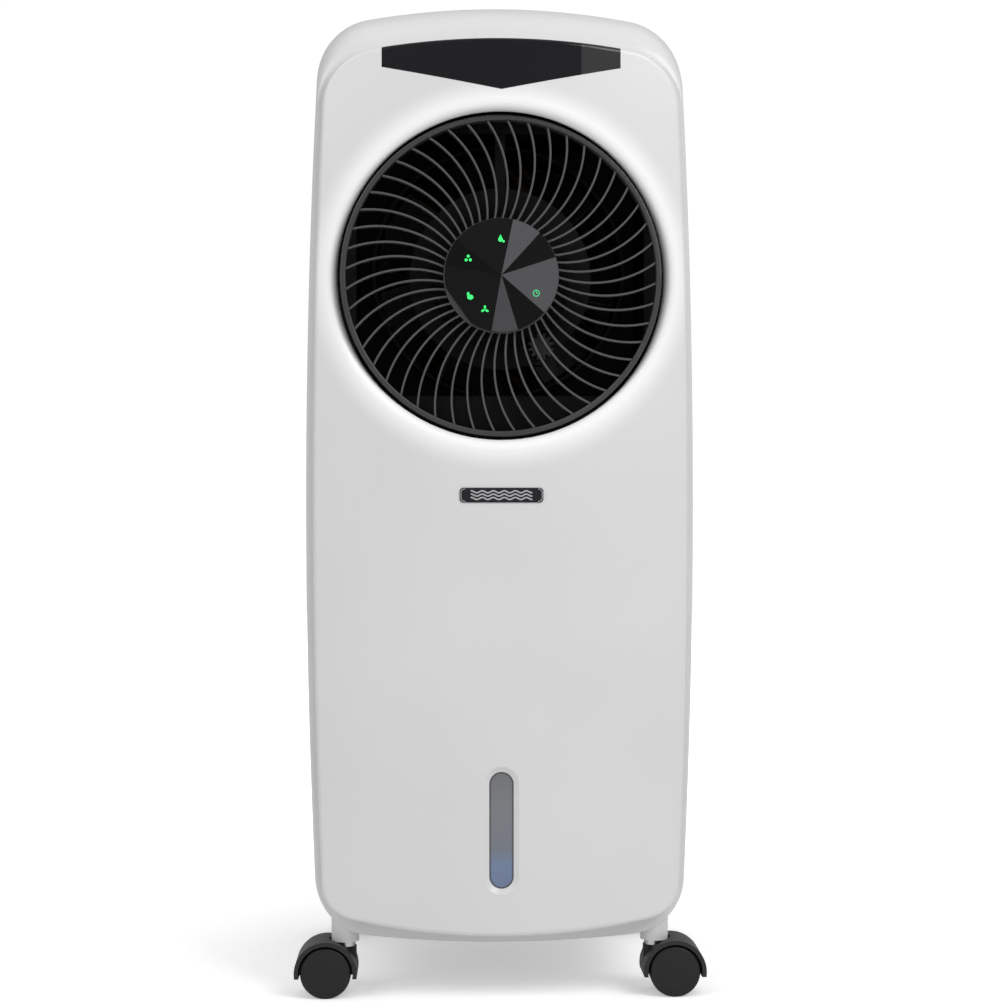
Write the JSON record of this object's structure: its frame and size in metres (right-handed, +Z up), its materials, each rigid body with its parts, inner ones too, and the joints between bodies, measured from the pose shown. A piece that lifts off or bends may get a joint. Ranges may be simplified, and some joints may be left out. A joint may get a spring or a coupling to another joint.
{
  "type": "evaporative air cooler",
  "caption": "Upright evaporative air cooler on casters: white cabinet, round turning spiral outlet, chevron display, water window, drawer tank and lift-off rear pad cover.",
  "frame": {"origin": "on the floor, under the centre of the overall box", "axes": "+Z up, -Y towards the front outlet, +X to the right as seen from the front"},
  "size_m": [0.3256, 0.3216, 0.8],
  "materials": {
    "white_plastic": "satin gloss moulded",
    "black_plastic": "fine texture",
    "gloss_black": "high gloss",
    "smoked_lens": "smoked clear, modelled opaque",
    "plate_metal": "dark brushed",
    "circuit": "solder mask",
    "green_light": "lit indicator",
    "motor_metal": "painted",
    "bracket_steel": "plated",
    "tank_plastic": "frosted",
    "grey_plastic": "fine texture",
    "hose_rubber": "smooth",
    "pad_paper": "corrugated cellulose",
    "filter_net": "woven net",
    "caster_plastic": "fine texture",
    "wheel_plastic": "satin",
    "axle_steel": "ground",
    "screw_steel": "plated"
  },
  "bodies": {
    "housing": {"casing_left": "white_plastic", "casing_right": "white_plastic", "rear_shell": "white_plastic", "base_tub": "white_plastic", "front_panel": "white_plastic", "window_lens": "smoked_lens", "nameplate": "plate_metal", "display_lens": "gloss_black", "display_board": "circuit", "duct_frame": "black_plastic", "fan_shroud": "black_plastic", "hub_carrier": "black_plastic", "control_disc": "gloss_black", "control_board": "circuit", "icon_leds": "green_light", "vane_motor": "motor_metal", "fan_motor": "motor_metal", "motor_bracket": "bracket_steel", "divider_deck": "grey_plastic", "spray_tray": "grey_plastic", "water_hose": "hose_rubber", "pump": "black_plastic", "pump_strainer": "grey_plastic", "power_board": "circuit", "board_cover": "black_plastic", "cord_gland": "black_plastic", "casing_screws": "screw_steel"},
    "vane_wheel": {"outer_ring": "black_plastic", "spiral_vanes": "black_plastic", "hub_gear": "black_plastic"},
    "pinion": {"drive_pinion": "grey_plastic"},
    "fan": {"fan_impeller": "black_plastic", "fan_shaft": "axle_steel", "fan_nut": "black_plastic"},
    "tank": {"water_tank": "tank_plastic", "drain_plug": "hose_rubber", "tank_grip": "grey_plastic"},
    "catch": {"tank_catch": "white_plastic"},
    "rear_cover": {"rear_grille": "white_plastic", "filter_mesh": "filter_net", "pad_frame": "grey_plastic", "cooling_pad": "pad_paper", "grille_clips": "white_plastic"},
    "caster_front_left_fork": {"caster_front_left_hood": "caster_plastic", "caster_front_left_stem": "axle_steel", "caster_front_left_axle": "axle_steel"},
    "caster_front_left_roller": {"caster_front_left_wheels": "wheel_plastic"},
    "caster_front_right_fork": {"caster_front_right_hood": "caster_plastic", "caster_front_right_stem": "axle_steel", "caster_front_right_axle": "axle_steel"},
    "caster_front_right_roller": {"caster_front_right_wheels": "wheel_plastic"},
    "caster_rear_left_fork": {"caster_rear_left_hood": "caster_plastic", "caster_rear_left_stem": "axle_steel", "caster_rear_left_axle": "axle_steel"},
    "caster_rear_left_roller": {"caster_rear_left_wheels": "wheel_plastic"},
    "caster_rear_right_fork": {"caster_rear_right_hood": "caster_plastic", "caster_rear_right_stem": "axle_steel", "caster_rear_right_axle": "axle_steel"},
    "caster_rear_right_roller": {"caster_rear_right_wheels": "wheel_plastic"}
  },
  "joints": [
    {"name": "vane_wheel_spin", "type": "hinge", "parent": "housing", "child": "vane_wheel", "pos_m": [0, -0.144, 0.5683], "axis": [0, 1, 0], "continuous": true},
    {"name": "pinion_spin", "type": "hinge", "parent": "housing", "child": "pinion", "pos_m": [0.03197, -0.13, 0.51402], "axis": [0, 1, 0], "continuous": true},
    {"name": "fan_spin", "type": "hinge", "parent": "housing", "child": "fan", "pos_m": [0, -0.049, 0.579], "axis": [0, 1, 0], "continuous": true},
    {"name": "tank_slide", "type": "slide", "parent": "housing", "child": "tank", "axis": [0, 1, 0], "range_m": [0, 0.17]},
    {"name": "catch_turn", "type": "hinge", "parent": "housing", "child": "catch", "pos_m": [0, 0.155, 0.274], "axis": [0, 1, 0], "range_deg": [0, 90]},
    {"name": "rear_cover_pull", "type": "slide", "parent": "housing", "child": "rear_cover", "axis": [0, 1, 0], "range_m": [0, 0.08]},
    {"name": "caster_front_left_swivel", "type": "hinge", "parent": "housing", "child": "caster_front_left_fork", "pos_m": [-0.123, -0.118, 0.043], "axis": [0, 0, 1], "continuous": true},
    {"name": "caster_front_left_roll", "type": "hinge", "parent": "caster_front_left_fork", "child": "caster_front_left_roller", "pos_m": [-0.138, -0.118, 0.02], "axis": [0, 1, 0], "continuous": true},
    {"name": "caster_front_right_swivel", "type": "hinge", "parent": "housing", "child": "caster_front_right_fork", "pos_m": [0.123, -0.118, 0.043], "axis": [0, 0, 1], "continuous": true},
    {"name": "caster_front_right_roll", "type": "hinge", "parent": "caster_front_right_fork", "child": "caster_front_right_roller", "pos_m": [0.138, -0.118, 0.02], "axis": [0, 1, 0], "continuous": true},
    {"name": "caster_rear_left_swivel", "type": "hinge", "parent": "housing", "child": "caster_rear_left_fork", "pos_m": [-0.123, 0.118, 0.043], "axis": [0, 0, 1], "continuous": true},
    {"name": "caster_rear_left_roll", "type": "hinge", "parent": "caster_rear_left_fork", "child": "caster_rear_left_roller", "pos_m": [-0.123, 0.133, 0.02], "axis": [1, 0, 0], "continuous": true},
    {"name": "caster_rear_right_swivel", "type": "hinge", "parent": "housing", "child": "caster_rear_right_fork", "pos_m": [0.123, 0.118, 0.043], "axis": [0, 0, 1], "continuous": true},
    {"name": "caster_rear_right_roll", "type": "hinge", "parent": "caster_rear_right_fork", "child": "caster_rear_right_roller", "pos_m": [0.123, 0.133, 0.02], "axis": [1, 0, 0], "continuous": true}
  ],
  "couplings": [
    {"joint": "pinion_spin", "follows": "vane_wheel_spin", "ratio": -6}
  ]
}
